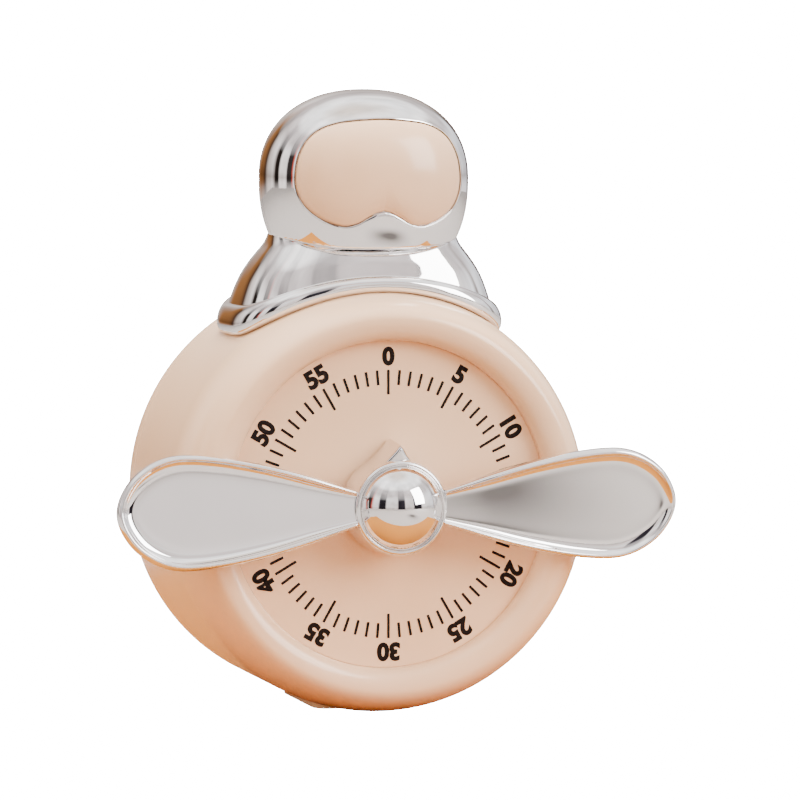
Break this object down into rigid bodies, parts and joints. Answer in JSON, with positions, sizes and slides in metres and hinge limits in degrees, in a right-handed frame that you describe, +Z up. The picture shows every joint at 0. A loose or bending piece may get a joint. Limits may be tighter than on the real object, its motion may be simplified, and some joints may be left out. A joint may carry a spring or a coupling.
{
  "type": "kitchen timer",
  "caption": "Clockwork kitchen timer with a round drum dial, a propeller winding knob and a helmeted head with a goggle visor.",
  "frame": {"origin": "middle of the flat foot, on the resting surface, below the drum's axis", "axes": "+Z is up, the dial faces -Y, +X is to the right of a person reading the dial"},
  "size_m": [0.0888, 0.0529, 0.0973],
  "materials": {
    "shell_plastic": "gloss moulded ABS, warm peach",
    "plated_plastic": "bright chrome plating on moulded ABS",
    "dial_ink": "pad-printed dark brown ink",
    "zinc_steel": "bright zinc plate",
    "bright_steel": "turned and pressed steel",
    "blue_spring_steel": "tempered blue spring steel",
    "movement_brass": "stamped brass"
  },
  "bodies": {
    "housing": {"front_shell": "shell_plastic", "rear_cover": "shell_plastic", "dial_plate": "shell_plastic", "dial_marks": "dial_ink", "visor": "shell_plastic", "collar": "plated_plastic", "helmet_front": "plated_plastic", "helmet_rear": "plated_plastic", "cover_screws": "zinc_steel", "collar_screws": "zinc_steel", "movement_screws": "zinc_steel", "magnets": "zinc_steel", "front_plate": "movement_brass", "back_plate": "movement_brass", "pillars": "bright_steel", "pillar_nuts": "zinc_steel", "stop_pin": "bright_steel", "spring_post": "bright_steel", "mainspring": "blue_spring_steel", "bell": "bright_steel", "bell_post": "bright_steel", "bell_nut": "zinc_steel", "hammer_spring": "blue_spring_steel"},
    "knob": {"propeller": "plated_plastic", "nose_cap": "plated_plastic", "pointer_collar": "plated_plastic", "knob_screw": "zinc_steel", "main_arbor": "bright_steel", "main_wheel": "movement_brass", "stop_cam": "movement_brass"},
    "second": {"second_arbor": "bright_steel", "second_wheel": "movement_brass"},
    "third": {"third_arbor": "bright_steel", "third_wheel": "movement_brass"},
    "fourth": {"fourth_arbor": "bright_steel", "fourth_wheel": "movement_brass"},
    "escape": {"escape_arbor": "bright_steel", "escape_wheel": "movement_brass"},
    "pallet": {"pallet_arbor": "bright_steel", "anchor": "movement_brass"},
    "hammer": {"hammer_arbor": "bright_steel", "hammer_arm": "bright_steel"}
  },
  "joints": [
    {"name": "knob_turn", "type": "hinge", "parent": "housing", "child": "knob", "pos_m": [0, 0, 0.033], "axis": [0, 1, 0], "range_deg": [0, 348]},
    {"name": "second_spin", "type": "hinge", "parent": "housing", "child": "second", "pos_m": [-0.0148, 0, 0.02761], "axis": [0, 1, 0], "range_deg": [-2090, 2]},
    {"name": "third_spin", "type": "hinge", "parent": "housing", "child": "third", "pos_m": [-0.00877, 0, 0.01902], "axis": [0, 1, 0], "range_deg": [-2, 10442]},
    {"name": "fourth_spin", "type": "hinge", "parent": "housing", "child": "fourth", "pos_m": [-0.00044, 0, 0.01651], "axis": [0, 1, 0], "range_deg": [-50114, 2]},
    {"name": "escape_spin", "type": "hinge", "parent": "housing", "child": "escape", "pos_m": [0.00699, 0, 0.0175], "axis": [0, 1, 0], "range_deg": [-2, 200450]},
    {"name": "pallet_rock", "type": "hinge", "parent": "housing", "child": "pallet", "pos_m": [0.01295, 0, 0.02198], "axis": [0, 1, 0], "range_deg": [-3, 3]},
    {"name": "hammer_swing", "type": "hinge", "parent": "housing", "child": "hammer", "pos_m": [-0.0145, 0, 0.0425], "axis": [0, 1, 0], "range_deg": [0, 6], "stiffness_Nm_per_rad": 0.002}
  ],
  "couplings": [
    {"joint": "second_spin", "follows": "knob_turn", "ratio": -6},
    {"joint": "third_spin", "follows": "knob_turn", "ratio": 30},
    {"joint": "fourth_spin", "follows": "knob_turn", "ratio": -144},
    {"joint": "escape_spin", "follows": "knob_turn", "ratio": 576}
  ]
}
